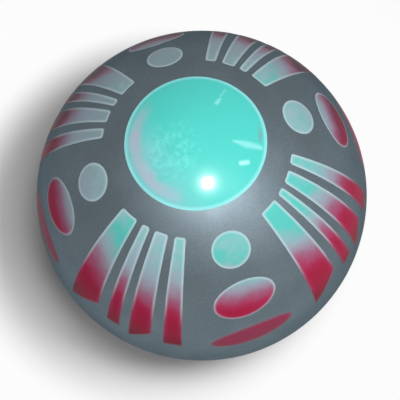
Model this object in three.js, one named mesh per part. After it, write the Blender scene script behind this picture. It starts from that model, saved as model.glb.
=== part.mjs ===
// Hollow rubber toy ball: two half shells cemented at the equator, a self-sealing valve inside the lower pole,
// and a pattern of lacquer films sprayed through stencils over the grey enamel of the rubber.
// Millimetres and degrees. The origin is the ball's centre, +Z points at the upper pole of the pattern and +X at
// its first column of dots.
import * as THREE from 'three';

// Rubber body, in millimetres
const BALL_DIAMETER = 150; // over the lacquer on the two poles
const WALL = 3;
const SEAM_THICKNESS = 0.4; // cement between the rims of the half shells
const SEAM_BEAD_HEIGHT = 3.6; // cement squeezed out along the seam on the inside
const SEAM_BEAD_DEPTH = 1.5;
const PLUG_DIAMETER = 18; // soft button that the pump's needle goes through
const PLUG_DEPTH = 6;
const PLUG_CHAMFER = 1.2;
const POCKET_WALL = 1.2; // rubber pocket that holds the plug against the wall
const POCKET_BRIM = 6; // width of the pocket's bonded brim around the plug
const SEAT_GAP = 0.3; // bond line between pieces that follow each other's curve

// Lacquer films, in millimetres
const FILM_THICKNESS = 0.25;
const FILM_GAP = 0.25;

// Pattern of one half, in degrees. Rows are chained from the pole towards the equator.
const STATIONS = 4; // columns of dots and ovals round the ball, with a fan of stripes between each two
const CAP_EDGE = 20.5; // from the pole to the edge of the pole cap
const DOT_GAP = 7.1;
const DOT_RADIUS = 5.7;
const OVAL_GAP = 4.5;
const OVAL_HALF_HEIGHT = 7;
const OVAL_HALF_WIDTH = 9.8;
const OVAL_TILT = 5; // the eastern end of an oval lies a little nearer the pole
const MIST_GAP = 4;
const MIST_HALF_HEIGHT = 6;
const MIST_HALF_WIDTH = 14.8;
const MIST_TILT = 3;
const FAN_GAP = 7.7; // from the cap's edge to the heads of the stripes

// Stripes of a fan from west to east, in degrees: longitude left bare on the western side, width in longitude,
// length on the western side, and how much shorter the eastern side is.
const STRIPES = [
  { name: 'wide', bare: 0, width: 12.1, length: 45.5, slant: 8.5 },
  { name: 'thin', bare: 3.5, width: 5.4, length: 42.5, slant: 0 },
  { name: 'middle', bare: 3.0, width: 8.5, length: 46, slant: 7 },
  { name: 'end', bare: 3.6, width: 6.9, length: 43.5, slant: 0 },
];

// Airbrushed colours, and the polar angles in degrees over which one fades into the next
const ENAMEL_GREY = 0x6a777a;
const CEMENT_GREY = 0x3b3f40;
const GUM_RUBBER = 0xb89a6a;
const TEAL = 0x50d8c4;
const PALE = 0xc3cfd6;
const RED = 0xb01236;
const TEAL_FADE = [33, 42];
const RED_FADE = [43, 54];
const MIST_STRENGTH = 0.6; // share of red in the mist that lies straight on the grey
const ENAMEL_ROUGHNESS = 0.45;
const LACQUER_ROUGHNESS = 0.35;
const MIST_ROUGHNESS = 0.5;
const RUBBER_ROUGHNESS = 0.8;

// Facets
const ROUND_SEGMENTS = 48;
const VALVE_SEGMENTS = 24;
const SMALLEST_DISC_GRID = 5;
const BEAD_STEPS = 6;
const VALVE_ARC_STEPS = 2;
const SAG_SHARE = 0.8; // share of a clearance that a flat facet may sag into

// Radii that the pieces share
const FILM_OUTER = BALL_DIAMETER / 2;
const FILM_INNER = FILM_OUTER - FILM_THICKNESS;
const SHELL_OUTER = FILM_INNER - FILM_GAP;
const SHELL_INNER = SHELL_OUTER - WALL;
const BOND_RADIUS = SHELL_INNER - SEAT_GAP;
const SEAM_HALF = SEAM_THICKNESS / 2;

const { degToRad, radToDeg, lerp, smoothstep } = THREE.MathUtils;

// Longest chord on a sphere that sags no deeper than a clearance allows
function longestChord(radius, clearance) {
  return Math.sqrt(8 * radius * clearance * SAG_SHARE);
}

// Side of the largest square facet of a film that stays clear of the rubber below it
const FILM_CELL = longestChord(FILM_INNER, FILM_GAP) / Math.SQRT2;

function filmCells(degrees) {
  return Math.ceil((degToRad(degrees) * FILM_INNER) / FILM_CELL);
}

// Point of a half section: distance from the axis and height, at a radius and a polar angle
function onArc(radius, polar) {
  return new THREE.Vector2(radius * Math.sin(degToRad(polar)), radius * Math.cos(degToRad(polar)));
}

// Polar angle at which a sphere reaches a height, and the one at which it reaches a distance from the axis
function polarAtHeight(radius, height) {
  return radToDeg(Math.acos(height / radius));
}

function polarAtReach(radius, reach) {
  return radToDeg(Math.asin(reach / radius));
}

function arc(radius, from, to, steps) {
  return Array.from({ length: steps + 1 }, (_, step) => onArc(radius, lerp(from, to, step / steps)));
}

// Half section turned about the Z axis
function revolve(profile, segments) {
  return new THREE.LatheGeometry(profile, segments).rotateX(Math.PI / 2);
}

// Direction from the ball's centre at a polar angle and a longitude
function direction(polar, longitude) {
  const out = Math.sin(degToRad(polar));
  const turn = degToRad(longitude);
  return new THREE.Vector3(out * Math.cos(turn), out * Math.sin(turn), Math.cos(degToRad(polar)));
}

// Bowl between two spheres about the pole, with its edge at a polar angle on the inside and on the outside
function bowlGeometry(innerRadius, innerEdge, outerRadius, outerEdge, rings) {
  const inside = arc(innerRadius, 0, innerEdge, rings);
  const outside = arc(outerRadius, outerEdge, 0, rings);
  return revolve([...inside, ...outside], ROUND_SEGMENTS);
}

// Half of the rubber wall, cut flat for the seam
function halfShellGeometry() {
  const innerEdge = polarAtHeight(SHELL_INNER, SEAM_HALF);
  const outerEdge = polarAtHeight(SHELL_OUTER, SEAM_HALF);
  const rings = Math.ceil((degToRad(90) * SHELL_INNER) / longestChord(SHELL_INNER, SEAT_GAP));
  return bowlGeometry(SHELL_INNER, innerEdge, SHELL_OUTER, outerEdge, rings);
}

// Ring of cement: a thin web between the two rims, and the bead that it forms on the inside
function seamGeometry() {
  const rim = onArc(SHELL_OUTER, polarAtHeight(SHELL_OUTER, SEAM_HALF)).x;
  const halfHeight = SEAM_BEAD_HEIGHT / 2;
  const root = onArc(SHELL_INNER, polarAtHeight(SHELL_INNER, halfHeight)).x - SEAT_GAP;
  const profile = [new THREE.Vector2(rim, SEAM_HALF), new THREE.Vector2(root, SEAM_HALF)];
  for (let step = 0; step <= BEAD_STEPS; step += 1) {
    const turn = (Math.PI * step) / BEAD_STEPS;
    const depth = SEAM_BEAD_DEPTH * Math.sin(turn);
    profile.push(new THREE.Vector2(root - depth, halfHeight * Math.cos(turn)));
  }
  profile.push(new THREE.Vector2(root, -SEAM_HALF), new THREE.Vector2(rim, -SEAM_HALF), profile[0].clone());
  return revolve(profile, ROUND_SEGMENTS);
}

// Soft button bonded to the inside of the wall at the pole
function plugGeometry() {
  const reach = PLUG_DIAMETER / 2;
  const face = BOND_RADIUS - PLUG_DEPTH;
  const profile = [
    new THREE.Vector2(0, face),
    new THREE.Vector2(reach - PLUG_CHAMFER, face),
    new THREE.Vector2(reach, face + PLUG_CHAMFER),
    ...arc(BOND_RADIUS, polarAtReach(BOND_RADIUS, reach), 0, VALVE_ARC_STEPS),
  ];
  return revolve(profile, VALVE_SEGMENTS);
}

// Pocket over the plug: a cup whose brim is bonded to the wall all round
function pocketGeometry() {
  const cup = PLUG_DIAMETER / 2 + SEAT_GAP;
  const floor = BOND_RADIUS - PLUG_DEPTH - SEAT_GAP;
  const brim = cup + POCKET_WALL + POCKET_BRIM;
  const lower = BOND_RADIUS - POCKET_WALL;
  const profile = [
    new THREE.Vector2(0, floor - POCKET_WALL),
    new THREE.Vector2(cup + POCKET_WALL - PLUG_CHAMFER, floor - POCKET_WALL),
    new THREE.Vector2(cup + POCKET_WALL, floor - POCKET_WALL + PLUG_CHAMFER),
    ...arc(lower, polarAtReach(lower, cup + POCKET_WALL), polarAtReach(lower, brim), VALVE_ARC_STEPS),
    ...arc(BOND_RADIUS, polarAtReach(BOND_RADIUS, brim), polarAtReach(BOND_RADIUS, cup), VALVE_ARC_STEPS),
    new THREE.Vector2(cup, floor),
    new THREE.Vector2(0, floor),
  ];
  return revolve(profile, VALVE_SEGMENTS);
}

// Closed film over a patch of the ball. place(u, v) gives a direction, with u running east and v north, 0 to 1.
function filmGeometry(place, columns, rows) {
  const positions = [];
  for (const radius of [FILM_INNER, FILM_OUTER]) {
    for (let row = 0; row <= rows; row += 1) {
      for (let column = 0; column <= columns; column += 1) {
        positions.push(...place(column / columns, row / rows).multiplyScalar(radius));
      }
    }
  }
  const layer = (rows + 1) * (columns + 1);
  const at = (column, row) => row * (columns + 1) + column;
  const faces = [];
  const addQuad = (a, b, c, d) => faces.push(a, b, c, a, c, d);
  const addWall = (from, to) => addQuad(from, to, to + layer, from + layer);
  for (let row = 0; row < rows; row += 1) {
    for (let column = 0; column < columns; column += 1) {
      const corners = [at(column, row), at(column + 1, row), at(column + 1, row + 1), at(column, row + 1)];
      addQuad(...corners.map((corner) => corner + layer));
      addQuad(...corners.reverse());
    }
    addWall(at(columns, row), at(columns, row + 1));
    addWall(at(0, row + 1), at(0, row));
  }
  for (let column = 0; column < columns; column += 1) {
    addWall(at(column, 0), at(column + 1, 0));
    addWall(at(column + 1, rows), at(column, rows));
  }
  const geometry = new THREE.BufferGeometry();
  geometry.setAttribute('position', new THREE.Float32BufferAttribute(positions, 3));
  geometry.setIndex(faces);
  geometry.computeVertexNormals();
  return geometry;
}

// Round or oval film: half sizes in degrees along and across, turned by a tilt about its centre
function discGeometry(polar, longitude, halfWidth, halfHeight, tilt) {
  const centre = direction(polar, longitude);
  const east = direction(90, longitude + 90);
  const north = direction(polar - 90, longitude);
  const along = east.clone().applyAxisAngle(centre, degToRad(tilt));
  const across = north.clone().applyAxisAngle(centre, degToRad(tilt));
  const place = (u, v) => {
    const s = 2 * u - 1;
    const t = 2 * v - 1;
    const x = s * Math.sqrt(1 - (t * t) / 2);
    const y = t * Math.sqrt(1 - (s * s) / 2);
    const point = centre.clone();
    point.addScaledVector(along, x * Math.tan(degToRad(halfWidth)));
    point.addScaledVector(across, y * Math.tan(degToRad(halfHeight)));
    return point.normalize();
  };
  const columns = Math.max(SMALLEST_DISC_GRID, filmCells(2 * halfWidth));
  const rows = Math.max(SMALLEST_DISC_GRID, filmCells(2 * halfHeight));
  return filmGeometry(place, columns, rows);
}

// Stripe along the meridians, with a square head and a slanted foot
function stripeGeometry(west, stripe) {
  const head = CAP_EDGE + FAN_GAP;
  const place = (u, v) => {
    const foot = head + stripe.length - stripe.slant * u;
    return direction(lerp(foot, head, v), west + stripe.width * u);
  };
  const footReach = Math.sin(degToRad(head + stripe.length));
  return filmGeometry(place, filmCells(stripe.width * footReach), filmCells(stripe.length));
}

// Lacquer whose colour runs from teal at the pole through pale to red, written on the vertices
function airbrush(geometry) {
  const position = geometry.getAttribute('position');
  const point = new THREE.Vector3();
  const colours = [];
  for (let index = 0; index < position.count; index += 1) {
    point.fromBufferAttribute(position, index).normalize();
    const polar = radToDeg(Math.acos(point.z));
    const colour = new THREE.Color(TEAL).lerp(new THREE.Color(PALE), smoothstep(polar, ...TEAL_FADE));
    colours.push(...colour.lerp(new THREE.Color(RED), smoothstep(polar, ...RED_FADE)));
  }
  geometry.setAttribute('color', new THREE.Float32BufferAttribute(colours, 3));
  return new THREE.MeshStandardMaterial({ vertexColors: true, roughness: LACQUER_ROUGHNESS, metalness: 0 });
}

function solidColour(colour, roughness) {
  return new THREE.MeshStandardMaterial({ color: colour, roughness, metalness: 0 });
}

function namedMesh(name, geometry, material) {
  const mesh = new THREE.Mesh(geometry, material);
  mesh.name = name;
  return mesh;
}

function lacquer(name, geometry) {
  return namedMesh(name, geometry, airbrush(geometry));
}

// Dot and oval of one column
function columnFilms(half, number, longitude) {
  const dotPolar = CAP_EDGE + DOT_GAP + DOT_RADIUS;
  const ovalPolar = dotPolar + DOT_RADIUS + OVAL_GAP + OVAL_HALF_HEIGHT;
  const dot = discGeometry(dotPolar, longitude, DOT_RADIUS, DOT_RADIUS, 0);
  const oval = discGeometry(ovalPolar, longitude, OVAL_HALF_WIDTH, OVAL_HALF_HEIGHT, OVAL_TILT);
  return [lacquer(`${half}_dot_${number}`, dot), lacquer(`${half}_oval_${number}`, oval)];
}

// Long oval of red mist below the oval of a column, sprayed on the grey without a pale undercoat
function mistFilm(half, number, longitude) {
  const ovalFoot = CAP_EDGE + DOT_GAP + 2 * DOT_RADIUS + OVAL_GAP + 2 * OVAL_HALF_HEIGHT;
  const polar = ovalFoot + MIST_GAP + MIST_HALF_HEIGHT;
  const colour = new THREE.Color(ENAMEL_GREY).lerp(new THREE.Color(RED), MIST_STRENGTH);
  const geometry = discGeometry(polar, longitude, MIST_HALF_WIDTH, MIST_HALF_HEIGHT, MIST_TILT);
  return namedMesh(`${half}_mist_oval_${number}`, geometry, solidColour(colour, MIST_ROUGHNESS));
}

// Fan of stripes, centred on a longitude
function fanFilms(half, number, longitude) {
  const spread = STRIPES.reduce((sum, stripe) => sum + stripe.bare + stripe.width, 0);
  let west = longitude - spread / 2;
  return STRIPES.map((stripe) => {
    const film = lacquer(`${half}_fan_${number}_${stripe.name}_stripe`, stripeGeometry(west + stripe.bare, stripe));
    west += stripe.bare + stripe.width;
    return film;
  });
}

// One half of the ball with its pole at +Z: the shell and the films on it
function ballHalf(half, withMist) {
  const group = new THREE.Group();
  group.add(namedMesh(`${half}_half_shell`, halfShellGeometry(), solidColour(ENAMEL_GREY, ENAMEL_ROUGHNESS)));
  const cap = bowlGeometry(FILM_INNER, CAP_EDGE, FILM_OUTER, CAP_EDGE, filmCells(CAP_EDGE));
  group.add(lacquer(`${half}_pole_cap`, cap));
  const pitch = 360 / STATIONS;
  for (let number = 1; number <= STATIONS; number += 1) {
    const longitude = pitch * (number - 1);
    group.add(...columnFilms(half, number, longitude));
    group.add(...fanFilms(half, number, longitude + pitch / 2));
    if (withMist) group.add(mistFilm(half, number, longitude));
  }
  return group;
}

const upper = ballHalf('upper', true);

// The lower half is the same moulding and stencil turned over, with the valve inside its pole
const lower = ballHalf('lower', false);
lower.add(namedMesh('valve_plug', plugGeometry(), solidColour(GUM_RUBBER, RUBBER_ROUGHNESS)));
lower.add(namedMesh('valve_pocket', pocketGeometry(), solidColour(CEMENT_GREY, RUBBER_ROUGHNESS)));
lower.rotation.x = Math.PI;

const ball = new THREE.Group();
ball.name = 'toy_ball';
ball.add(upper, lower, namedMesh('seam_cement', seamGeometry(), solidColour(CEMENT_GREY, RUBBER_ROUGHNESS)));

export default ball;
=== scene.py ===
"""Looks of a hollow rubber toy ball: satin grey enamel and airbrushed lacquer films, on a pale floor."""

import itertools
import math

import bpy
import numpy as np
from bpy.props import FloatProperty, FloatVectorProperty, IntProperty, PointerProperty
from mathutils import Matrix, Vector


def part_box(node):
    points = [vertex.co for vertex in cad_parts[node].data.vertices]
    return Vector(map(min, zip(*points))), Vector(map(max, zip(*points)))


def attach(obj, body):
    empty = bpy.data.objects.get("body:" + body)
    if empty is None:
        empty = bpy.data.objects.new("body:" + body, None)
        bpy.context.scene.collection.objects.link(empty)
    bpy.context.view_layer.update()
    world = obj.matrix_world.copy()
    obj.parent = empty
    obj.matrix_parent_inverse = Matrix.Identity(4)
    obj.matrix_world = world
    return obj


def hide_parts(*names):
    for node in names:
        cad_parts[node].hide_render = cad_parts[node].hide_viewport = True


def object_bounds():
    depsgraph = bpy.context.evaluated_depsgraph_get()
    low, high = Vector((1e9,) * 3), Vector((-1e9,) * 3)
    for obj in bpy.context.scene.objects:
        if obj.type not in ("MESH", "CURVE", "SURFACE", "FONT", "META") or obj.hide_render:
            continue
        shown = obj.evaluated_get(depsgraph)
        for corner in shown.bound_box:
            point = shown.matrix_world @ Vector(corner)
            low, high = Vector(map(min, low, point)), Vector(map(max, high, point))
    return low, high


bl_info = {
    "name": "Painted Rubber Ball",
    "version": (1, 0, 0),
    "blender": (4, 5, 0),
    "location": "View3D > Sidebar > Ball",
    "description": "Dresses the packed toy ball with enamel, lacquer films and a studio stage",
    "category": "Object",
}

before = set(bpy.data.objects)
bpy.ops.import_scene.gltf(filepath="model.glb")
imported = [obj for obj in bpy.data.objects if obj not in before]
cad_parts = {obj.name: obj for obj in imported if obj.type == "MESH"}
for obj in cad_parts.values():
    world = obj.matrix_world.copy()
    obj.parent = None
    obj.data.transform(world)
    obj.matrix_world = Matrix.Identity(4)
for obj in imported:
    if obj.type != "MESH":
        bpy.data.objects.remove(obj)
CAD_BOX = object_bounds()

MM = 0.001
HALVES = ("upper", "lower")
STATIONS = (1, 2, 3, 4)
STRIPE_NAMES = ("wide", "thin", "middle", "end")

# A half is modelled with its pole at +Z, and the lower one is then turned over about the X axis.
HALF_TURN = {"upper": Matrix.Identity(4), "lower": Matrix.Rotation(math.pi, 4, "X")}


def linear(code):
    """Linear colour of an sRGB hex value."""
    channels = [int(code[i : i + 2], 16) / 255 for i in (0, 2, 4)]
    return [c / 12.92 if c <= 0.04045 else ((c + 0.055) / 1.055) ** 2.4 for c in channels]


def node_points(node, half):
    """Vertices of a CAD node in the frame of its half, in metres."""
    points = np.array([vertex.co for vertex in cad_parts[node].data.vertices])
    return points @ np.array(HALF_TURN[half].to_3x3()).T


SHELL_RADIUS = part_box("upper_half_shell")[1].z
SEAM_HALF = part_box("upper_half_shell")[0].z
SHELL_WALL = SHELL_RADIUS - np.linalg.norm(node_points("upper_half_shell", "upper"), axis=1).min()

# Longitudes towards which the films' teal and red are richest; both are duller on the opposite side
TEAL_RICH_LONGITUDE = 292.0
RED_RICH_LONGITUDE = 255.0

# Aluminium flake in the grey enamel: its share of the gloss, and its dull tint at a glancing angle
FLAKE = 0.8
FLAKE_TINT = (0.1, 0.12, 0.13, 1.0)

# What the enamel, the airbrushed films and the mist share, and the width and strength of their waves
SPRAYED_COAT = {"IOR": 1.5, "Specular IOR Level": 0.05, "Specular Tint": FLAKE_TINT}
COAT_WAVES = (1.6 * MM, 0.12)

# Roughness of an airbrushed film and of the mist, and depth in metres of the waves on any coat
FILM_ROUGHNESS = 0.45
WAVE_DEPTH = 0.05 * MM

# How much paler the powder makes bare rubber
BLOOM = 1.35

# Angles from which an edge stays sharp, and from which the edge of a rim is bevelled
SHARP_ANGLE = math.radians(40)
RIM_ANGLE = math.radians(60)

# Degrees of longitude from a stripe's side within which the CAD points belong to that side
SIDE_REACH = 0.1

# Smallest number to divide by
LEAST = 1e-6

# Painted reflection on the cap, a lilac crescent along one side: its longitude, the degrees from the pole
# over which it rises and falls, and its spread round the cap as cosines
REFLECTION_LONGITUDE = 182.0
REFLECTION_RISE = (14.0, 17.4)
REFLECTION_FALL = (18.0, 19.3)
REFLECTION_SPREAD = (0.35, 0.95)

# Side of the cap where the teal is paler and duller: its longitude, and the degrees from the pole over which
# it rises
PALE_SIDE_LONGITUDE = 195.0
PALE_SIDE_RISE = (4.0, 17.0)

# Rubbed spot on the cap: its place in degrees from the pole and of longitude, its reach in degrees, and the
# share of that reach that is rubbed in full
RUBBED_PLACE = (7.5, 190.0)
RUBBED_REACH = 11.0
RUBBED_CORE = 0.35

# Strokes on the cap: start and end in degrees from the pole and of longitude, the width at both in degrees,
# and the strength, which is full over a share of the width
STROKE_CORE = 0.25
# The first three strokes are painted highlights, the last two are pale scuffs
SCUFFS_AND_HIGHLIGHTS = (
    ((10.6, 337.2), (14.4, 335.3), (0.4, 1.5), 0.42),
    ((14.4, 335.3), (18.6, 335.0), (1.5, 1.0), 0.42),
    ((14.6, 312.4), (16.2, 317.0), (0.9, 0.9), 0.8),
    ((18.0, 42.5), (15.0, 43.0), (0.35, 0.5), 0.28),
    ((14.0, 42.0), (12.3, 42.4), (0.6, 0.9), 0.42),
)
CHIPS = (
    ((18.4, 356.0), (18.6, 349.0), (0.3, 0.6), 0.5),
    ((18.6, 348.0), (18.3, 341.5), (0.9, 0.5), 0.75),
)

# Degrees by which red starts nearer the pole on the western side of a stripe than on its eastern side
STRIPE_LEAN = {"wide": 6.0, "thin": 1.0, "middle": 3.0, "end": 1.0}

# Degrees by which red starts nearer the pole at the western end of a dot or an oval than in its middle
SPOT_LEAN = {"dot": 0.0, "oval": 2.0}

# Extra share of teal on a stripe
STRIPE_TEAL = {"wide": 0.28, "thin": -0.05, "middle": -0.08, "end": -0.12}

# Extra share of teal on a dot and on an oval
SPOT_TEAL = {"dot": -0.1, "oval": 0.0}

# How steeply the colours of a dot and of an oval change, and by how many degrees they are drawn to the pole
SPOT_STEEP = {"dot": 1.0, "oval": 1.5}
SPOT_SHIFT = {"dot": 0.0, "oval": 0.3}

# How thick the coat of a dot and of an oval is, told as the distance in millimetres from a stripe's foot
SPOT_COAT = {"dot": 2.3, "oval": 50.0}

# The record's material slot for a dot and for an oval
SPOT_SLOT = {"dot": "teal_lacquer", "oval": "red_lacquer"}

# Floor, in metres: its width, and the distances from the middle of the shadow over which a painted white glow
# rises round it, and over which that painted glow fades to the level of the walls
FLOOR_SIZE = 8.0
SHADOW_END = (1.15 * SHELL_RADIUS, 1.6 * SHELL_RADIUS)
WHITE_END = (0.16, 0.5)

# Heights over which the walls fade to the ceiling, as sines of the angle above the horizon
WALL_TOP = (0.1, 0.27)

# Lamps: sizes and distances in metres, and how far each stands to the right and above in the picture, as
# slopes for the key and the fill, and in ball radii from the lens for the flash
KEY_SIZE = 0.085
KEY_DISTANCE = 0.31
KEY_ASIDE = (0.36, -0.2)
FILL_SIZE = 0.25
FILL_DISTANCE = 0.9
FILL_ASIDE = (0.65, -0.26)
FLASH_SIZE = 0.016
SOFT_FLASH_SIZE = 0.07
FLASH_ASIDE = (0.25, 0.51)

# Camera: width of the sensor in millimetres and nearest distance in metres
SENSOR_WIDTH = 36.0
NEAREST = 0.01

# Sizes and colours that a user may change


class BallSizes(bpy.types.PropertyGroup):
    """Sizes of the shell and of the films on it."""

    shell_radius: FloatProperty(
        name="Shell Radius", description="Outer radius of the rubber", default=SHELL_RADIUS, unit="LENGTH"
    )
    shell_wall: FloatProperty(
        name="Wall", description="Thickness of the rubber", default=float(SHELL_WALL), unit="LENGTH"
    )
    rim_bevel: FloatProperty(
        name="Rim Bevel", description="Bevel on the rim of each half", default=0.2 * MM, unit="LENGTH"
    )
    cap_rise: FloatProperty(
        name="Cap Rise", description="Height of a pole cap above the enamel", default=0.25 * MM, unit="LENGTH"
    )
    film_rise: FloatProperty(
        name="Film Rise", description="Height of a film above the enamel", default=0.06 * MM, unit="LENGTH"
    )
    mist_rise: FloatProperty(
        name="Mist Rise", description="Height of the mist above the enamel", default=0.03 * MM, unit="LENGTH"
    )
    corner: FloatProperty(
        name="Stripe Corner", description="Radius of a stripe's corners", default=0.8 * MM, unit="LENGTH"
    )
    segments: IntProperty(name="Segments", description="Facets round the shell", default=256)
    stripe_cuts: IntProperty(name="Stripe Cuts", description="Cuts across a stripe's sheet", default=47)
    disc_spokes: IntProperty(name="Disc Spokes", description="Facets round a dot or oval", default=96)
    disc_rings: IntProperty(name="Disc Rings", description="Rings from edge to centre of a dot", default=24)
    cap_spokes: IntProperty(name="Cap Spokes", description="Facets round a pole cap", default=192)
    cap_rings: IntProperty(name="Cap Rings", description="Rings from a cap's edge to the pole", default=72)


def colour_property(label, words, code):
    return FloatVectorProperty(name=label, description=words, subtype="COLOR", size=3, default=linear(code))


class BallColours(bpy.types.PropertyGroup):
    """Colours of the enamel, the lacquers and the bare rubber."""

    enamel: colour_property("Enamel", "Silver grey over the whole ball", "91a1aa")
    enamel_dark: colour_property("Enamel Shade", "Thinner grey between the clouds of spray", "87969f")
    cap_teal: colour_property("Cap Teal", "Thick teal on the pole cap", "50cac1")
    # Paler, duller teal towards one side of the cap
    pale_side_teal: colour_property("Chalky Teal", "Dull side of the cap", "83c4c8")
    cap_rim: colour_property("Cap Rim", "Thin teal along the cap's edge", "96dfe2")
    # Lilac of a painted reflection, a crescent along one side of the cap
    reflection_lilac: colour_property("Thin Lilac", "Undercoat where the cap's teal is thin", "b4afc4")
    worn_pale: colour_property("Worn Pale", "Rubbed spots", "8cefe8")
    # Near-white of the pale scuffs and of the painted highlights on the cap
    scuff_and_highlight_pale: colour_property("Scuffed", "Scraped strokes on the cap", "b7f6f6")
    teal: colour_property("Teal", "Airbrushed teal near the pole", "5bc0b8")
    # Teal on the side of the ball where the films' teal is least
    thin_teal: colour_property("Thin Teal", "Teal on the side that the gun reached least", "8ea5ac")
    pale_teal: colour_property("Pale Teal", "Half a coat of teal over the white", "97b8be")
    pale: colour_property("Pale", "White undercoat between teal and red", "9babb8")
    rose: colour_property("Rose", "First veil of red over the white", "a06e89")
    # Red on the side of the ball where the films' red is richest
    red: colour_property("Red", "Red where the gun reached well", "b23a62")
    core_red: colour_property("Core Red", "Thick red in the middle of a film", "b01f40")
    # Darker red on the side of the ball where the films' red is least
    faint_red: colour_property("Faint Red", "Red on the far side from the gun", "58303e")
    deep_red: colour_property("Deep Red", "Red over the grey near the equator", "8f1f34")
    outline: colour_property("Outline", "Bare white edge that the second stencil left", "bacfd6")
    mist: colour_property("Mist", "Red sprayed straight on the grey", "a63457")
    cement: colour_property("Cement", "Rubber cement in the seam", "4e585a")
    gum: colour_property("Gum", "Soft rubber of the valve plug", "b89a6a")
    black_rubber: colour_property("Black Rubber", "Rubber of the valve pocket", "2b2d2e")
    floor: colour_property("Floor", "Pale studio floor", "fcfcfc")


class BallStage(bpy.types.PropertyGroup):
    """Camera and lamps."""

    azimuth: FloatProperty(
        name="Azimuth",
        description="Camera direction round the pole axis",
        default=math.radians(-11.64),
        subtype="ANGLE",
    )
    elevation: FloatProperty(
        name="Elevation",
        description="Camera height above the equator",
        default=math.radians(73.504),
        subtype="ANGLE",
    )
    roll: FloatProperty(
        name="Roll",
        description="Turn of the camera about its view axis",
        default=math.radians(6.63),
        subtype="ANGLE",
    )
    distance: FloatProperty(
        name="Distance", description="Lens to ball centre", default=4.2426 * SHELL_RADIUS, unit="LENGTH"
    )
    focal: FloatProperty(name="Focal Length", description="For a sensor 36 mm wide", default=61.23)
    shift_x: FloatProperty(name="Shift X", description="Framing of the photograph", default=-0.0045)
    shift_y: FloatProperty(name="Shift Y", description="Framing of the photograph", default=-0.011)
    ambient: FloatProperty(name="Ambient", description="Soft light from above", default=0.12)
    walls: FloatProperty(name="Walls", description="Soft light from the walls, low down", default=0.44)
    key_power: FloatProperty(
        name="Key", description="Soft lamp to the right of the lens", default=0.2, unit="POWER"
    )
    fill_power: FloatProperty(
        name="Fill", description="Broad lamp further to the right", default=0.8, unit="POWER"
    )
    flash_power: FloatProperty(
        name="Flash", description="Tube and screen of the flash, each", default=0.49, unit="POWER"
    )


# Modelling steps that the pieces share


def deselect_all():
    bpy.ops.object.select_all(action="DESELECT")


def edit_all():
    bpy.ops.object.mode_set(mode="EDIT")
    bpy.ops.mesh.select_all(action="SELECT")


def apply_modifier(piece, kind, **settings):
    """Adds a modifier with its settings and applies it."""
    modifier = piece.modifiers.new(kind.title(), kind)
    for name, value in settings.items():
        setattr(modifier, name, value)
    bpy.ops.object.modifier_apply(modifier=modifier.name)


def name_piece(name):
    piece = bpy.context.object
    piece.name = name
    piece.data.name = name
    return piece


def hand_over(piece, half, material, slot, *nodes):
    """Turns a finished piece into its half's place and ties it to the frame."""
    piece.data.transform(HALF_TURN[half])
    piece.data.materials.clear()
    piece.data.materials.append(material)
    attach(piece, "root")
    if nodes:
        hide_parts(*nodes)


def direction(polar, longitude):
    """Unit vector at a polar angle and a longitude in degrees."""
    polar, longitude = math.radians(polar), math.radians(longitude)
    width = math.sin(polar)
    return Vector((width * math.cos(longitude), width * math.sin(longitude), math.cos(polar)))


def ball_angles(points):
    """Polar angles and longitudes of points, in degrees."""
    unit = points / np.linalg.norm(points, axis=1, keepdims=True)
    polar = np.degrees(np.arccos(np.clip(unit[:, 2], -1, 1)))
    longitude = np.degrees(np.arctan2(unit[:, 1], unit[:, 0])) % 360
    return polar, longitude


def piece_points(piece):
    points = np.empty(len(piece.data.vertices) * 3, np.float32)
    piece.data.vertices.foreach_get("co", points)
    return points.reshape(-1, 3).astype(float)


def store(piece, name, values):
    """Keeps one number for each vertex, for the material to read."""
    attribute = piece.data.attributes.new(name, "FLOAT", "POINT")
    attribute.data.foreach_set("value", values.astype(np.float32))


def store_spray(piece, extra_teal):
    """How much teal and how much red each point has: each is richest towards one longitude and least
    opposite.
    """
    longitude = ball_angles(piece_points(piece))[1]
    for name, gun, extra in (("spray", TEAL_RICH_LONGITUDE, extra_teal), ("red_spray", RED_RICH_LONGITUDE, 0.0)):
        store(piece, name, np.clip(0.5 + 0.5 * np.cos(np.radians(longitude - gun)) + extra, 0, 1))


def smooth_rise(values, low, high):
    share = np.clip((values - low) / (high - low), 0, 1)
    return share * share * (3 - 2 * share)


def wrap_film(piece, sizes, rise):
    """Lays a flat sheet on the ball and gives it the film's thickness."""
    radius = sizes.shell_radius
    apply_modifier(piece, "CAST", cast_type="SPHERE", factor=1.0, use_radius_as_size=False, size=radius)
    apply_modifier(piece, "SOLIDIFY", thickness=rise, offset=1.0)
    bpy.ops.object.shade_smooth_by_angle(angle=SHARP_ANGLE)


def disc_sheet(name, spokes, rings):
    """Flat disc of radius 1 in rings of quads, drawn in from its edge to its centre."""
    deselect_all()
    bpy.ops.mesh.primitive_circle_add(vertices=spokes, radius=1.0, fill_type="NOTHING")
    piece = name_piece(name)
    edit_all()
    for ring in range(rings, 1, -1):
        bpy.ops.mesh.extrude_edges_move()
        share = (ring - 1) / ring
        bpy.ops.transform.resize(value=(share, share, 1), center_override=(0, 0, 0))
    bpy.ops.mesh.extrude_edges_move()
    bpy.ops.mesh.merge(type="CENTER")
    bpy.ops.mesh.select_all(action="SELECT")
    bpy.ops.mesh.normals_make_consistent(inside=False)
    bpy.ops.object.mode_set(mode="OBJECT")
    if piece.data.polygons[0].normal.z < 0:
        edit_all()
        bpy.ops.mesh.flip_normals()
        bpy.ops.object.mode_set(mode="OBJECT")
    return piece


def oval_of(points):
    """Centre, long axis, short axis and the two half angles of an oval film, measured on its CAD node."""
    unit = points / np.linalg.norm(points, axis=1, keepdims=True)
    centre = unit.mean(axis=0)
    centre /= np.linalg.norm(centre)
    flat = unit / (unit @ centre)[:, None] - centre
    reach = np.linalg.norm(flat, axis=1)
    along = flat[reach.argmax()] / reach.max()
    if np.cross([0, 0, 1], centre) @ along < 0:
        along = -along
    across = np.cross(centre, along)
    return centre, along, across, np.abs(flat @ along).max(), np.abs(flat @ across).max()


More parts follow.
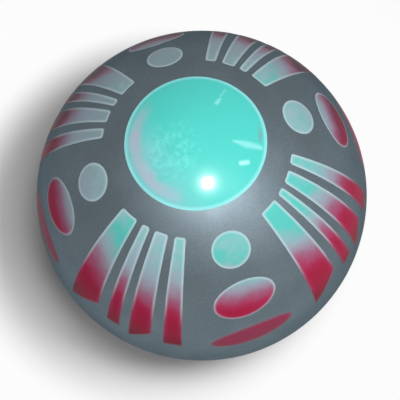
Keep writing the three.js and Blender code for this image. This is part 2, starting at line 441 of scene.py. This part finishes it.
def oval_film(name, points, spokes, rings, sizes, rise):
    """Film over an oval of the ball, with its distance from the edge in millimetres, and how far towards the
    eastern end each of its points lies, from -1 to 1."""
    centre, along, across, half_along, half_across = oval_of(points)
    piece = disc_sheet(name, spokes, rings)
    radius = sizes.shell_radius
    columns = (along * half_along, across * half_across, centre, centre)
    rows = [[column[row] * radius for column in columns] for row in range(3)]
    piece.data.transform(Matrix(rows + [[0, 0, 0, 1]]))
    wrap_film(piece, sizes, rise)
    unit = piece_points(piece)
    flat = unit / (unit @ centre)[:, None] - centre
    x, y = flat @ along / half_along, flat @ across / half_across
    share = np.hypot(x, y)
    slope = np.hypot(x / half_along, y / half_across) / np.maximum(share, LEAST)
    store(piece, "rim", (1 - share) / np.maximum(slope, LEAST) * radius / MM)
    return piece, x


def painted_reflection_crescent(polar, longitude):
    """Share of painted reflection, a lilac crescent along one side of the cap."""
    turn = np.cos(np.radians(longitude - REFLECTION_LONGITUDE))
    ring = smooth_rise(polar, *REFLECTION_RISE) * (1 - smooth_rise(polar, *REFLECTION_FALL))
    return ring * smooth_rise(turn, *REFLECTION_SPREAD)


def pale_side_share(polar, longitude):
    """Where the teal is paler and duller, towards one side of the cap."""
    turn = np.cos(np.radians(longitude - PALE_SIDE_LONGITUDE))
    return smooth_rise(polar * turn, *PALE_SIDE_RISE)


def rubbed_spot(points):
    """Where the cap is mottled by rubbing."""
    unit = points / np.linalg.norm(points, axis=1, keepdims=True)
    reach = np.degrees(np.arccos(np.clip(unit @ np.array(direction(*RUBBED_PLACE)), -1, 1)))
    return 1 - smooth_rise(reach, RUBBED_CORE * RUBBED_REACH, RUBBED_REACH)


def strokes(points, marks):
    """Strokes from one place to another, each with a width at both ends and a strength."""
    unit = points / np.linalg.norm(points, axis=1, keepdims=True)
    total = np.zeros(len(points))
    for start, end, widths, strength in marks:
        a, b = np.array(direction(*start)), np.array(direction(*end))
        share = np.clip((unit - a) @ (b - a) / ((b - a) @ (b - a)), 0, 1)
        away = np.degrees(np.linalg.norm(unit - a - share[:, None] * (b - a), axis=1))
        width = widths[0] + (widths[1] - widths[0]) * share
        total = np.maximum(total, strength * (1 - smooth_rise(away, STROKE_CORE * width, width)))
    return total


def stripe_film(name, points, lean, sizes):
    """Film over a stripe, with its distances from the edge and from its foot in millimetres."""
    polar, longitude = ball_angles(points)
    west, east, head = longitude.min(), longitude.max(), polar.min()
    foot_west = polar[longitude < west + SIDE_REACH].max()
    foot_east = polar[longitude > east - SIDE_REACH].max()
    deselect_all()
    bpy.ops.mesh.primitive_plane_add(size=2)
    piece = name_piece(name)
    corners = ((foot_west, west), (foot_east, east), (head, west), (head, east))
    for vertex, corner in zip(piece.data.vertices, corners):
        vertex.co = direction(*corner) * sizes.shell_radius
    edit_all()
    bpy.ops.mesh.subdivide(number_cuts=sizes.stripe_cuts)
    bpy.ops.object.mode_set(mode="OBJECT")
    wrap_film(piece, sizes, sizes.film_rise)
    polar, longitude = ball_angles(piece_points(piece))
    across = (longitude - west) / (east - west)
    degree = math.radians(sizes.shell_radius / MM)
    width = (east - west) * np.sin(np.radians(polar)) * degree
    foot = (foot_west + (foot_east - foot_west) * across - polar) * degree
    side = np.minimum(across, 1 - across) * width
    end = np.minimum(foot, (polar - head) * degree)
    corner = sizes.corner / MM
    inset = np.hypot(np.maximum(corner - side, 0), np.maximum(corner - end, 0))
    rounded = np.where((side < corner) & (end < corner), corner - inset, np.minimum(side, end))
    store(piece, "rim", rounded)
    store(piece, "foot", foot)
    store(piece, "tone", polar + lean * (0.5 - across))
    return piece


def station_copy(model, name, number):
    """Copy of a film with its own mesh, turned about the pole to its station."""
    piece = model.copy()
    piece.data = model.data.copy()
    piece.name = name
    piece.data.name = name
    piece.data.transform(Matrix.Rotation(math.tau * (number - 1) / len(STATIONS), 4, "Z"))
    bpy.context.collection.objects.link(piece)
    return piece


# Materials


def add(tree, kind, inputs=None, **settings):
    """Adds a shader node with its settings, and links or sets its inputs."""
    node = tree.nodes.new("ShaderNode" + kind)
    for name, value in settings.items():
        setattr(node, name, value)
    for socket, value in (inputs or {}).items():
        if isinstance(value, bpy.types.NodeSocket):
            tree.links.new(value, node.inputs[socket])
        else:
            node.inputs[socket].default_value = value
    return node


def opaque(colour):
    return (*colour, 1.0)


def new_material(name):
    material = bpy.data.materials.new(name)
    material.use_nodes = True
    tree = material.node_tree
    tree.nodes.clear()
    return material, tree


def close_material(tree, shader):
    add(tree, "OutputMaterial", {"Surface": shader.outputs["BSDF"]})


def enamel_colour(tree, place, colours):
    """Grey of the enamel: clouds of spray some 15 mm wide and a fine grain of overspray."""
    # Real grains are about a tenth of a millimetre wide, and are drawn 0.7 mm wide so that they show
    clouds = add(tree, "TexNoise", {"Vector": place, "Scale": 1 / (15 * MM), "Detail": 2.0})
    grain = add(tree, "TexNoise", {"Vector": place, "Scale": 1 / (0.7 * MM), "Detail": 1.0})
    mixed = add(tree, "Math", {0: clouds.outputs["Fac"], 1: grain.outputs["Fac"]}, operation="MULTIPLY")
    share = add(tree, "MapRange", {"Value": mixed.outputs[0], "From Min": 0.15, "From Max": 0.38})
    return add(
        tree,
        "MixRGB",
        {"Fac": share.outputs[0], "Color1": opaque(colours.enamel_dark), "Color2": opaque(colours.enamel)},
    ).outputs[0]


def orange_peel(tree, place, width, strength):
    """Slight waviness that a sprayed coat keeps when it dries."""
    waves = add(tree, "TexNoise", {"Vector": place, "Scale": 1 / width, "Detail": 1.5})
    bump = add(tree, "Bump", {"Strength": strength, "Distance": WAVE_DEPTH, "Height": waves.outputs["Fac"]})
    return bump.outputs[0]


def satin_enamel(colours):
    """Nitro enamel sprayed on moulded rubber: an even grey with a broad, soft sheen."""
    material, tree = new_material("satin_grey_enamel")
    place = add(tree, "TexCoord").outputs["Object"]
    smears = add(tree, "TexNoise", {"Vector": place, "Scale": 1 / (9 * MM), "Detail": 3.0})
    smeared = smears.outputs["Fac"]
    rough = add(
        tree, "MapRange", {"Value": smeared, "From Min": 0.3, "From Max": 0.7, "To Min": 0.5, "To Max": 0.57}
    )
    shader = add(
        tree,
        "BsdfPrincipled",
        {
            **SPRAYED_COAT,
            "Base Color": enamel_colour(tree, place, colours),
            "Metallic": FLAKE,
            "Roughness": rough.outputs[0],
            "Normal": orange_peel(tree, place, *COAT_WAVES),
        },
    )
    close_material(tree, shader)
    return material


def airbrushed_lacquer(colours):
    """Lacquer sprayed through a stencil on a white undercoat: cloudy teal, then bare white, then a veil of
    rose and thick red, with speckled borders and a pale outline where the second stencil left the white."""
    material, tree = new_material("airbrushed_lacquer")
    place = add(tree, "TexCoord").outputs["Object"]
    tone, rim, foot, spray, red_spray = [
        add(tree, "Attribute", attribute_name=name).outputs["Fac"]
        for name in ("tone", "rim", "foot", "spray", "red_spray")
    ]
    # Real specks of spray are about a tenth of a millimetre wide, and are drawn 0.5 mm wide so that they show
    drift, cloud, speck = [
        add(tree, "TexNoise", {"Vector": place, "Scale": 1 / (width * MM), "Detail": detail}).outputs["Fac"]
        for width, detail in ((8.0, 2.0), (5.0, 3.0), (0.5, 1.0))
    ]
    # A border wanders by up to 3 degrees, its specks jump by up to 1.6, and full teal reaches 3 further
    shift = add(tree, "MapRange", {"Value": drift, "To Min": -3.0, "To Max": 3.0}).outputs[0]
    jitter = add(tree, "MapRange", {"Value": speck, "To Min": -1.6, "To Max": 1.6}).outputs[0]
    angle = tone
    for wander in (shift, jitter):
        angle = add(tree, "Math", {0: angle, 1: wander}, operation="ADD").outputs[0]
    patches = add(
        tree,
        "MapRange",
        {"Value": cloud, "From Min": 0.25, "From Max": 0.75, "To Min": -0.14, "To Max": 0.14},
        interpolation_type="SMOOTHSTEP",
    ).outputs[0]
    spray = add(tree, "Math", {0: spray, 1: patches}, operation="ADD").outputs[0]
    reach = add(tree, "MapRange", {"Value": spray, "To Min": 3.0, "To Max": -3.0}).outputs[0]
    teal_angle = add(tree, "Math", {0: angle, 1: reach}, operation="ADD").outputs[0]
    # Each share goes smoothly from first to last while its value rises from low to high. The angles and tone
    # are in degrees, rim and foot are in millimetres, and the sprays are shares.
    share = {}
    for name, value, low, high, first, last in (
        ("half_teal", spray, 0.0, 0.5, 0.0, 1.0),
        ("full_teal", spray, 0.5, 1.0, 0.0, 1.0),
        ("bare_white", teal_angle, 33.0, 42.0, 0.0, 1.0),
        ("veil", angle, 41.0, 50.0, 0.0, 1.0),
        ("red", angle, 46.0, 55.0, 0.0, 1.0),
        ("thick_red", angle, 50.0, 58.0, 0.0, 0.8),
        ("deep_red", angle, 62.0, 72.0, 0.0, 1.0),
        # How rich the red is on this side of the ball
        ("reached", red_spray, 0.15, 0.75, 0.0, 1.0),
        ("middle", rim, 0.4, 2.8, 0.0, 1.0),
        ("edge", rim, 0.35, 1.45, 1.0, 0.0),
        ("bare_edge", tone, 49.0, 61.0, 0.74, 0.0),
        ("oval_edge", foot, 44.0, 48.0, 0.0, 0.6),
        ("soft_edge", tone, 48.0, 64.0, 0.35, 0.9),
        ("coat", foot, 0.2, 2.6, 0.0, 1.0),
    ):
        inputs = {"Value": value, "From Min": low, "From Max": high, "To Min": first, "To Max": last}
        share[name] = add(tree, "MapRange", inputs, interpolation_type="SMOOTHSTEP").outputs[0]
    inputs = {"Value": rim, "From Min": -0.1, "From Max": share["soft_edge"]}
    share["inside"] = add(tree, "MapRange", inputs, interpolation_type="SMOOTHSTEP").outputs[0]
    for name, operation, first, second in (
        ("middle", "MULTIPLY", "reached", "middle"),
        ("thick_red", "MULTIPLY", "middle", "thick_red"),
        ("deep_red", "MULTIPLY", "reached", "deep_red"),
        ("kept_edge", "MAXIMUM", "bare_edge", "oval_edge"),
        ("outline", "MULTIPLY", "edge", "kept_edge"),
        ("cover", "MULTIPLY", "coat", "inside"),
    ):
        share[name] = add(tree, "Math", {0: share[first], 1: share[second]}, operation=operation).outputs[0]
    red_mix = {"Fac": share["reached"], "Color1": opaque(colours.faint_red), "Color2": opaque(colours.red)}
    colour = opaque(colours.thin_teal)
    for name, layer in (
        ("half_teal", opaque(colours.pale_teal)),
        ("full_teal", opaque(colours.teal)),
        ("bare_white", opaque(colours.pale)),
        ("veil", opaque(colours.rose)),
        ("red", add(tree, "MixRGB", red_mix).outputs[0]),
        ("thick_red", opaque(colours.core_red)),
        ("deep_red", opaque(colours.deep_red)),
        ("outline", opaque(colours.outline)),
    ):
        colour = add(tree, "MixRGB", {"Fac": share[name], "Color1": colour, "Color2": layer}).outputs[0]
    cover = share["cover"]
    flake = add(tree, "MapRange", {"Value": cover, "To Min": FLAKE, "To Max": 0.0}).outputs[0]
    grey = enamel_colour(tree, place, colours)
    colour = add(tree, "MixRGB", {"Fac": cover, "Color1": grey, "Color2": colour}).outputs[0]
    shader = add(
        tree,
        "BsdfPrincipled",
        {
            **SPRAYED_COAT,
            "Base Color": colour,
            "Metallic": flake,
            "Roughness": FILM_ROUGHNESS,
            "Normal": orange_peel(tree, place, *COAT_WAVES),
        },
    )
    close_material(tree, shader)
    return material


def shared_lacquer(colours):
    """The one airbrushed lacquer that the dots, ovals and stripes share."""
    return bpy.data.materials.get("airbrushed_lacquer") or airbrushed_lacquer(colours)


def red_mist(colours):
    """Thin red sprayed straight on the grey with the stencil held off: no undercoat, no edge, fine specks."""
    material, tree = new_material("red_mist_on_enamel")
    place = add(tree, "TexCoord").outputs["Object"]
    rim = add(tree, "Attribute", attribute_name="rim").outputs["Fac"]
    # The specks are drawn 0.6 mm wide so that they show
    speck = add(tree, "TexNoise", {"Vector": place, "Scale": 1 / (0.6 * MM), "Detail": 1.0}).outputs["Fac"]
    jitter = add(tree, "MapRange", {"Value": speck, "To Min": -1.0, "To Max": 1.0}).outputs[0]
    depth = add(tree, "Math", {0: rim, 1: jitter}, operation="ADD").outputs[0]
    inputs = {"Value": depth, "From Min": 0.4, "From Max": 3.6, "To Max": 0.95}
    cover = add(tree, "MapRange", inputs, interpolation_type="SMOOTHSTEP").outputs[0]
    flake = add(tree, "MapRange", {"Value": cover, "To Min": FLAKE, "To Max": 0.0}).outputs[0]
    grey = enamel_colour(tree, place, colours)
    colour = add(tree, "MixRGB", {"Fac": cover, "Color1": grey, "Color2": opaque(colours.mist)}).outputs[0]
    shader = add(
        tree,
        "BsdfPrincipled",
        {
            **SPRAYED_COAT,
            "Base Color": colour,
            "Metallic": flake,
            "Roughness": FILM_ROUGHNESS,
            "Normal": orange_peel(tree, place, *COAT_WAVES),
        },
    )
    close_material(tree, shader)
    return material


def glossy_cap_lacquer(colours):
    """Thick lacquer flooded on the pole: wet gloss, a paler edge, a paler side, a painted reflection, rubbed
    spots.
    """
    material, tree = new_material("glossy_teal_lacquer")
    place = add(tree, "TexCoord").outputs["Object"]
    rim, thin, chalky, wear, scuff, chip = [
        add(tree, "Attribute", attribute_name=name).outputs["Fac"]
        for name in ("rim", "thin", "chalky", "wear", "scuff", "chip")
    ]
    clouds = add(tree, "TexNoise", {"Vector": place, "Scale": 1 / (7 * MM), "Detail": 3.0}).outputs["Fac"]
    flecks = add(tree, "TexNoise", {"Vector": place, "Scale": 1 / (2.2 * MM), "Detail": 4.0}).outputs["Fac"]
    patchy = add(
        tree, "MapRange", {"Value": clouds, "From Min": 0.3, "From Max": 0.7, "To Min": 0.45, "To Max": 1.0}
    ).outputs[0]
    rubbed = add(
        tree,
        "MapRange",
        {"Value": flecks, "From Min": 0.38, "From Max": 0.7, "To Max": 0.34},
        interpolation_type="SMOOTHSTEP",
    ).outputs[0]
    rubbed = add(tree, "Math", {0: rubbed, 1: wear}, operation="MULTIPLY").outputs[0]
    # Painted reflection: a lilac crescent along one side of the cap, broken up by the patches
    thin = add(tree, "Math", {0: thin, 1: patchy}, operation="MULTIPLY").outputs[0]
    dull = add(tree, "Math", {0: chalky, 1: patchy}, operation="MULTIPLY").outputs[0]
    edge = add(
        tree,
        "MapRange",
        {"Value": rim, "From Min": 0.6, "From Max": 2.0, "To Min": 0.75, "To Max": 0.0},
        interpolation_type="SMOOTHSTEP",
    ).outputs[0]
    colour = opaque(colours.cap_teal)
    for share, layer in (
        (dull, colours.pale_side_teal),
        (thin, colours.reflection_lilac),
        (rubbed, colours.worn_pale),
        (edge, colours.cap_rim),
        # Pale scuffs and painted highlights
        (scuff, colours.scuff_and_highlight_pale),
        (chip, colours.enamel_dark),
    ):
        colour = add(tree, "MixRGB", {"Fac": share, "Color1": colour, "Color2": opaque(layer)}).outputs[0]
    rough = add(
        tree, "MapRange", {"Value": flecks, "From Min": 0.3, "From Max": 0.7, "To Min": 0.28, "To Max": 0.36}
    )
    shader = add(
        tree,
        "BsdfPrincipled",
        {
            "Base Color": colour,
            "Roughness": rough.outputs[0],
            "IOR": 1.5,
            "Specular IOR Level": 0.15,
            "Coat Weight": 0.8,
            "Coat Roughness": 0.125,
            "Normal": orange_peel(tree, place, 3.0 * MM, 0.06),
        },
    )
    close_material(tree, shader)
    return material


def bare_rubber(name, colour):
    """Uncoated rubber: matte, with the fine bloom of powder that keeps it from sticking."""
    material, tree = new_material(name)
    place = add(tree, "TexCoord").outputs["Object"]
    bloom = add(tree, "TexNoise", {"Vector": place, "Scale": 1 / (2 * MM), "Detail": 4.0}).outputs["Fac"]
    pale = [min(1.0, channel * BLOOM) for channel in colour]
    mixed = add(tree, "MixRGB", {"Fac": bloom, "Color1": opaque(colour), "Color2": opaque(pale)}).outputs[0]
    grain = orange_peel(tree, place, 0.8 * MM, 0.3)
    shader = add(
        tree, "BsdfPrincipled", {"Base Color": mixed, "Roughness": 0.75, "IOR": 1.52, "Normal": grain}
    )
    close_material(tree, shader)
    return material


# Operators, one for each piece or group of like pieces


class BALL_OT_half_shells(bpy.types.Operator):
    """Model the two enamelled half shells"""

    bl_idname = "ball.half_shells"
    bl_label = "Half Shells"

    def execute(self, context):
        sizes, colours = context.scene.ball_sizes, context.scene.ball_colours
        material = satin_enamel(colours)
        for half in HALVES:
            deselect_all()
            bpy.ops.mesh.primitive_uv_sphere_add(
                segments=sizes.segments, ring_count=sizes.segments // 2, radius=sizes.shell_radius
            )
            piece = name_piece(half + "_shell_enamel")
            edit_all()
            bpy.ops.mesh.bisect(plane_co=(0, 0, SEAM_HALF), plane_no=(0, 0, 1), clear_inner=True)
            bpy.ops.object.mode_set(mode="OBJECT")
            apply_modifier(piece, "SOLIDIFY", thickness=sizes.shell_wall, offset=-1.0)
            apply_modifier(
                piece, "BEVEL", width=sizes.rim_bevel, segments=2, limit_method="ANGLE", angle_limit=RIM_ANGLE
            )
            bpy.ops.object.shade_smooth_by_angle(angle=SHARP_ANGLE)
            hand_over(piece, half, material, "grey_enamelled_rubber", half + "_half_shell")
        return {"FINISHED"}


class BALL_OT_seam(bpy.types.Operator):
    """Model the ring of cement between the halves"""

    bl_idname = "ball.seam"
    bl_label = "Seam"

    def execute(self, context):
        sizes, colours = context.scene.ball_sizes, context.scene.ball_colours
        deselect_all()
        bpy.ops.mesh.primitive_cylinder_add(
            vertices=sizes.segments, radius=sizes.shell_radius, depth=2 * SEAM_HALF, end_fill_type="NOTHING"
        )
        piece = name_piece("seam_cement_ring")
        bpy.ops.object.transform_apply(location=True, rotation=True, scale=True)
        apply_modifier(piece, "SOLIDIFY", thickness=sizes.shell_wall, offset=-1.0)
        bpy.ops.object.shade_smooth_by_angle(angle=SHARP_ANGLE)
        material = bare_rubber("rubber_cement", colours.cement)
        hand_over(piece, "upper", material, "rubber_cement", "seam_cement")
        return {"FINISHED"}


class BALL_OT_valve(bpy.types.Operator):
    """Give the hidden valve its rubber finishes"""

    bl_idname = "ball.valve"
    bl_label = "Valve"

    def execute(self, context):
        colours = context.scene.ball_colours
        for node, material in (
            ("valve_plug", bare_rubber("soft_gum_rubber", colours.gum)),
            ("valve_pocket", bare_rubber("black_pocket_rubber", colours.black_rubber)),
        ):
            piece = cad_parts[node]
            piece.data.materials.clear()
            piece.data.materials.append(material)
        return {"FINISHED"}


class BALL_OT_pole_caps(bpy.types.Operator):
    """Model the glossy caps on the two poles"""

    bl_idname = "ball.pole_caps"
    bl_label = "Pole Caps"

    def execute(self, context):
        sizes, colours = context.scene.ball_sizes, context.scene.ball_colours
        material = glossy_cap_lacquer(colours)
        points = node_points("upper_pole_cap", "upper")
        model = oval_film("pole_cap", points, sizes.cap_spokes, sizes.cap_rings, sizes, sizes.cap_rise)[0]
        points = piece_points(model)
        polar, longitude = ball_angles(points)
        # Painted reflection: a lilac crescent along one side of the cap
        store(model, "thin", painted_reflection_crescent(polar, longitude))
        # Paler, duller teal towards one side of the cap
        store(model, "chalky", pale_side_share(polar, longitude))
        store(model, "wear", rubbed_spot(points))
        # Pale scuffs and painted highlights
        store(model, "scuff", strokes(points, SCUFFS_AND_HIGHLIGHTS))
        store(model, "chip", strokes(points, CHIPS))
        for half in HALVES:
            node = half + "_pole_cap"
            hand_over(station_copy(model, node + "_film", 1), half, material, "teal_lacquer", node)
        bpy.data.objects.remove(model)
        return {"FINISHED"}


class BALL_OT_dots_and_ovals(bpy.types.Operator):
    """Model the dots and ovals of the columns"""

    bl_idname = "ball.dots_and_ovals"
    bl_label = "Dots and Ovals"

    def execute(self, context):
        sizes, colours = context.scene.ball_sizes, context.scene.ball_colours
        material = shared_lacquer(colours)
        for kind in SPOT_SLOT:
            points = node_points(f"upper_{kind}_1", "upper")
            model, east = oval_film(kind, points, sizes.disc_spokes, sizes.disc_rings, sizes, sizes.film_rise)
            polar = ball_angles(piece_points(model))[0]
            steep = SPOT_STEEP[kind]
            tone = steep * polar + (1 - steep) * polar.mean() + SPOT_SHIFT[kind]
            store(model, "tone", tone - SPOT_LEAN[kind] * east)
            store(model, "foot", np.full(len(polar), SPOT_COAT[kind]))
            for half, number in itertools.product(HALVES, STATIONS):
                node = f"{half}_{kind}_{number}"
                piece = station_copy(model, node + "_film", number)
                store_spray(piece, SPOT_TEAL[kind])
                hand_over(piece, half, material, SPOT_SLOT[kind], node)
            bpy.data.objects.remove(model)
        return {"FINISHED"}


class BALL_OT_mist_ovals(bpy.types.Operator):
    """Model the long ovals of red mist"""

    bl_idname = "ball.mist_ovals"
    bl_label = "Mist Ovals"

    def execute(self, context):
        sizes, colours = context.scene.ball_sizes, context.scene.ball_colours
        material = red_mist(colours)
        points = node_points("upper_mist_oval_1", "upper")
        model = oval_film("mist_oval", points, sizes.disc_spokes, sizes.disc_rings, sizes, sizes.mist_rise)[0]
        for half, number in itertools.product(HALVES, STATIONS):
            node = f"{half}_mist_oval_{number}"
            piece = station_copy(model, node + "_film", number)
            replaced = [node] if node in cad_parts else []
            hand_over(piece, half, material, "red_mist", *replaced)
        bpy.data.objects.remove(model)
        return {"FINISHED"}


class BALL_OT_stripes(bpy.types.Operator):
    """Model the fans of stripes"""

    bl_idname = "ball.stripes"
    bl_label = "Stripes"

    def execute(self, context):
        sizes, colours = context.scene.ball_sizes, context.scene.ball_colours
        material = shared_lacquer(colours)
        for kind in STRIPE_NAMES:
            points = node_points(f"upper_fan_1_{kind}_stripe", "upper")
            model = stripe_film(kind + "_stripe", points, STRIPE_LEAN[kind], sizes)
            for half, number in itertools.product(HALVES, STATIONS):
                node = f"{half}_fan_{number}_{kind}_stripe"
                piece = station_copy(model, node + "_film", number)
                store_spray(piece, STRIPE_TEAL[kind])
                hand_over(piece, half, material, "shaded_stripe_lacquer", node)
            bpy.data.objects.remove(model)
        return {"FINISHED"}


# Stage


def key_direction(camera):
    """Way from the ball to the key lamp, which stands aside as the photograph's shadow says."""
    turn = camera.matrix_world.to_3x3()
    aside = turn @ Vector((KEY_ASIDE[0], KEY_ASIDE[1], 0))
    return (Vector((0, 0, 1)) + aside).normalized()


def make_floor(colours, stage, camera):
    """Pale floor that keeps the ball's shadow, with a painted white glow round it that fades to the level of
    the walls.
    """
    deselect_all()
    bpy.ops.mesh.primitive_plane_add(size=FLOOR_SIZE, location=(0, 0, CAD_BOX[0].z))
    floor = name_piece("studio_floor")
    material, tree = new_material("pale_floor")
    way = key_direction(camera)
    middle = way * (CAD_BOX[0].z / way.z)
    place = add(tree, "TexCoord").outputs["Object"]
    reach = add(tree, "VectorMath", {0: place, 1: (middle.x, middle.y, 0)}, operation="DISTANCE")
    away = reach.outputs["Value"]
    # Painted light: a white glow round the middle of the shadow, which draws the shadow's outer edge
    white = add(
        tree,
        "MapRange",
        {"Value": away, "From Min": SHADOW_END[0], "From Max": SHADOW_END[1]},
        interpolation_type="SMOOTHSTEP",
    ).outputs[0]
    # The painted glow is brightest near the ball and fades with distance, a painted pool of light
    fade = {"From Min": WHITE_END[0], "From Max": WHITE_END[1], "To Min": 1.0, "To Max": stage.walls}
    level = add(tree, "MapRange", {"Value": away, **fade}, interpolation_type="SMOOTHSTEP").outputs[0]
    path = add(tree, "LightPath")
    seen = path.outputs["Is Camera Ray"]
    for ray in ("Is Glossy Ray", "Is Transmission Ray"):
        seen = add(tree, "Math", {0: seen, 1: path.outputs[ray]}, operation="MAXIMUM").outputs[0]
    share = add(tree, "Math", {0: white, 1: seen}, operation="MULTIPLY").outputs[0]
    matte = add(tree, "BsdfDiffuse", {"Color": opaque(colours.floor)}).outputs[0]
    painted_glow = add(tree, "Emission", {"Color": opaque(colours.floor), "Strength": level}).outputs[0]
    mixed = add(tree, "MixShader", {0: share, 1: matte, 2: painted_glow})
    add(tree, "OutputMaterial", {"Surface": mixed.outputs[0]})
    floor.data.materials.append(material)


def make_world(scene, stage):
    """Pale walls all round, fading to a dimmer ceiling, which give the same soft light that they show."""
    world = bpy.data.worlds.new("pale_room")
    world.use_nodes = True
    tree = world.node_tree
    tree.nodes.clear()
    way = add(tree, "TexCoord").outputs["Generated"]
    height = add(tree, "SeparateXYZ", {"Vector": way}).outputs["Z"]
    fade = {"From Min": WALL_TOP[0], "From Max": WALL_TOP[1], "To Min": stage.walls, "To Max": stage.ambient}
    strength = add(tree, "MapRange", {"Value": height, **fade}, interpolation_type="SMOOTHSTEP").outputs[0]
    light = add(tree, "Background", {"Color": (1, 1, 1, 1), "Strength": strength})
    add(tree, "OutputWorld", {"Surface": light.outputs[0]})
    scene.world = world


def make_camera(scene, stage):
    """Camera above the ball, turned as the photograph is."""
    azimuth, elevation = stage.azimuth, stage.elevation
    level = math.cos(elevation)
    back = Vector((math.sin(azimuth) * level, -math.cos(azimuth) * level, math.sin(elevation)))
    lens = bpy.data.cameras.new("photo_camera")
    lens.sensor_width = SENSOR_WIDTH
    lens.lens = stage.focal
    lens.shift_x = stage.shift_x
    lens.shift_y = stage.shift_y
    lens.clip_start = NEAREST
    camera = bpy.data.objects.new("photo_camera", lens)
    scene.collection.objects.link(camera)
    turn = (-back).to_track_quat("-Z", "Y").to_matrix().to_4x4()
    roll = Matrix.Rotation(-stage.roll, 4, "Z")
    camera.matrix_world = Matrix.Translation(back * stage.distance) @ turn @ roll
    scene.camera = camera
    return camera


def make_lamps(stage, camera):
    """Soft key and fill at the picture's right, and a flash beside the lens: gloss shows its small tube, and
    its light on matte paint and on the floor comes from a soft screen round it."""
    right, up, back = camera.matrix_world.to_3x3().transposed()
    eye = camera.matrix_world.translation
    key_way = key_direction(camera)
    fill_way = (back + right * FILL_ASIDE[0] + up * FILL_ASIDE[1]).normalized()
    flash_place = eye + (right * FLASH_ASIDE[0] + up * FLASH_ASIDE[1]) * SHELL_RADIUS
    for name, place, size, power, on_matte, on_gloss in (
        ("soft_key", key_way * KEY_DISTANCE, KEY_SIZE, stage.key_power, True, False),
        ("soft_fill", fill_way * FILL_DISTANCE, FILL_SIZE, stage.fill_power, True, True),
        ("soft_flash", flash_place, SOFT_FLASH_SIZE, stage.flash_power, True, False),
        ("lens_flash", flash_place, FLASH_SIZE, stage.flash_power, False, True),
    ):
        lamp = bpy.data.lights.new(name, "AREA")
        lamp.shape = "DISK"
        lamp.size = size
        lamp.energy = power
        holder = bpy.data.objects.new(name, lamp)
        holder.visible_diffuse = on_matte
        holder.visible_glossy = on_gloss
        bpy.context.scene.collection.objects.link(holder)
        turn = (-place).to_track_quat("-Z", "Y").to_matrix().to_4x4()
        holder.matrix_world = Matrix.Translation(place) @ turn


class BALL_OT_stage(bpy.types.Operator):
    """Set the floor, the lamps and the camera"""

    bl_idname = "ball.stage"
    bl_label = "Stage"

    def execute(self, context):
        stage, colours = context.scene.ball_stage, context.scene.ball_colours
        make_world(context.scene, stage)
        camera = make_camera(context.scene, stage)
        make_floor(colours, stage, camera)
        make_lamps(stage, camera)
        context.scene.view_settings.view_transform = "Standard"
        return {"FINISHED"}


class BALL_PT_panel(bpy.types.Panel):
    """Lists the steps and the sizes of the ball"""

    bl_idname = "BALL_PT_panel"
    bl_label = "Painted Rubber Ball"
    bl_space_type = "VIEW_3D"
    bl_region_type = "UI"
    bl_category = "Ball"

    def draw(self, context):
        for step in STEPS:
            self.layout.operator(step.bl_idname)
        for group in ("ball_sizes", "ball_colours", "ball_stage"):
            box = self.layout.box()
            settings = getattr(context.scene, group)
            for name in settings.__annotations__:
                box.prop(settings, name)


STEPS = (
    BALL_OT_half_shells,
    BALL_OT_seam,
    BALL_OT_valve,
    BALL_OT_pole_caps,
    BALL_OT_dots_and_ovals,
    BALL_OT_mist_ovals,
    BALL_OT_stripes,
    BALL_OT_stage,
)
GROUPS = {"ball_sizes": BallSizes, "ball_colours": BallColours, "ball_stage": BallStage}


def register():
    for kind in (*GROUPS.values(), *STEPS, BALL_PT_panel):
        bpy.utils.register_class(kind)
    for name, kind in GROUPS.items():
        setattr(bpy.types.Scene, name, PointerProperty(type=kind))


def unregister():
    for name in GROUPS:
        delattr(bpy.types.Scene, name)
    for kind in (BALL_PT_panel, *reversed(STEPS), *GROUPS.values()):
        bpy.utils.unregister_class(kind)


def main():
    register()
    bpy.ops.ball.half_shells()
    bpy.ops.ball.seam()
    bpy.ops.ball.valve()
    bpy.ops.ball.pole_caps()
    bpy.ops.ball.dots_and_ovals()
    bpy.ops.ball.mist_ovals()
    bpy.ops.ball.stripes()
    bpy.ops.ball.stage()


if __name__ == "__main__":
    main()
